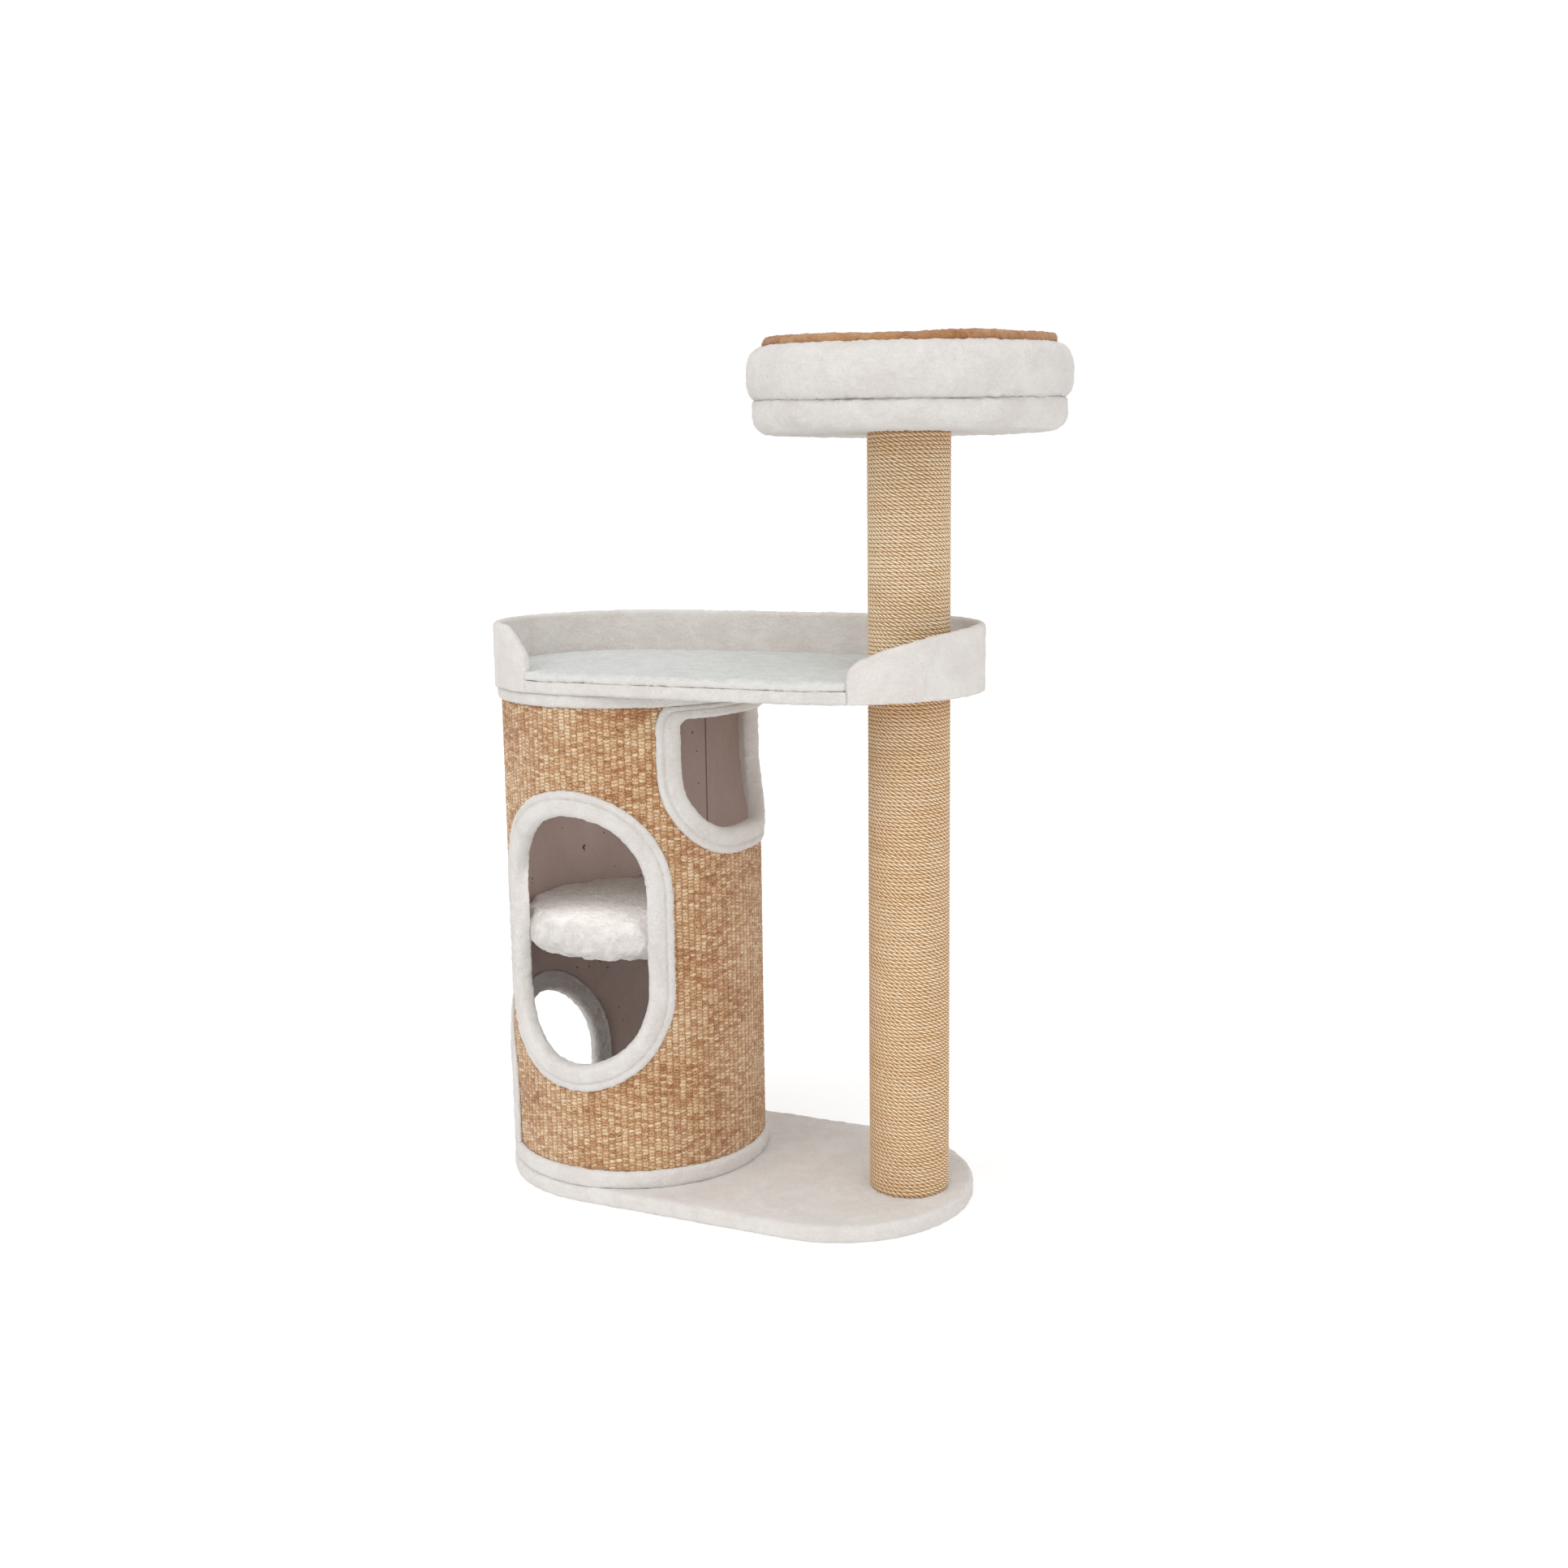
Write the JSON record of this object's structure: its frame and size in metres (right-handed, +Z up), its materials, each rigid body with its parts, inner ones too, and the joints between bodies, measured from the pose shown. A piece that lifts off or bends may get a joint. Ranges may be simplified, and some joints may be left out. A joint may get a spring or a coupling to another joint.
{
  "type": "cat tree",
  "caption": "Free-standing cat tree: sisal barrel den with shelf and openings, rope-wound post, walled plush platform on both, and a round bed on top.",
  "frame": {"origin": "centre of the base's underside, on the floor", "axes": "+Z up; +X from the barrel towards the rope-wound post; -Y is the front, with the barrel's large opening"},
  "size_m": [0.8965, 0.453, 1.2704],
  "materials": {
    "board_wood": "raw chipboard",
    "tube_card": "spiral-wound board tube, raw",
    "plush_cream": "short-pile cream plush",
    "plush_grey": "short-pile plush, cool off-white",
    "plush_brown": "short-pile caramel plush",
    "sisal_weave": "coarse woven sisal, flecked tan and brown",
    "jute_rope": "twisted jute rope, matte",
    "lining_mauve": "thin grey-mauve non-woven lining",
    "padding_foam": "open-cell foam",
    "felt_grey": "needle felt",
    "plug_plastic": "moulded plastic",
    "zinc_steel": "zinc-plated"
  },
  "bodies": {
    "tree": {"base_board": "board_wood", "base_cover": "plush_cream", "base_underlay": "felt_grey", "barrel_shell": "tube_card", "barrel_lining": "lining_mauve", "lining_seam_tape": "lining_mauve", "sisal_cover": "sisal_weave", "barrel_bottom_board": "board_wood", "barrel_floor_mat": "plush_cream", "barrel_top_board": "board_wood", "shelf_board": "board_wood", "shelf_foam": "padding_foam", "shelf_cover": "plush_cream", "front_opening_trim": "plush_cream", "upper_opening_trim": "plush_cream", "lower_opening_trim": "plush_cream", "barrel_foot_band": "plush_cream", "barrel_head_band": "plush_cream", "lower_post_tube": "tube_card", "lower_post_bottom_plug": "plug_plastic", "lower_post_top_plug": "plug_plastic", "lower_post_rope": "jute_rope", "upper_post_tube": "tube_card", "upper_post_bottom_plug": "plug_plastic", "upper_post_top_plug": "plug_plastic", "upper_post_rope": "jute_rope", "post_inserts": "zinc_steel", "base_post_bolt": "zinc_steel", "base_post_washer": "zinc_steel", "platform_stud": "zinc_steel", "bed_bolt": "zinc_steel", "bed_washer": "zinc_steel", "platform_board": "board_wood", "platform_cover": "plush_cream", "platform_mat": "plush_grey", "rim_wall_core": "tube_card", "rim_wall_cover": "plush_cream", "rim_wall_screws": "zinc_steel", "shelf_screws": "zinc_steel", "barrel_hoop_screws": "zinc_steel", "barrel_base_screws": "zinc_steel", "barrel_platform_screws": "zinc_steel", "bed_board": "board_wood", "bed_pad_cover": "plush_cream", "bed_pad_foam": "padding_foam", "bed_bolster": "plush_cream"},
    "bed_liner": {"bed_liner": "plush_brown", "bed_liner_foam": "padding_foam"}
  },
  "joints": [
    {"name": "bed_liner_lift", "type": "slide", "parent": "tree", "child": "bed_liner", "axis": [0, 0, 1], "range_m": [0, 0.2]}
  ]
}
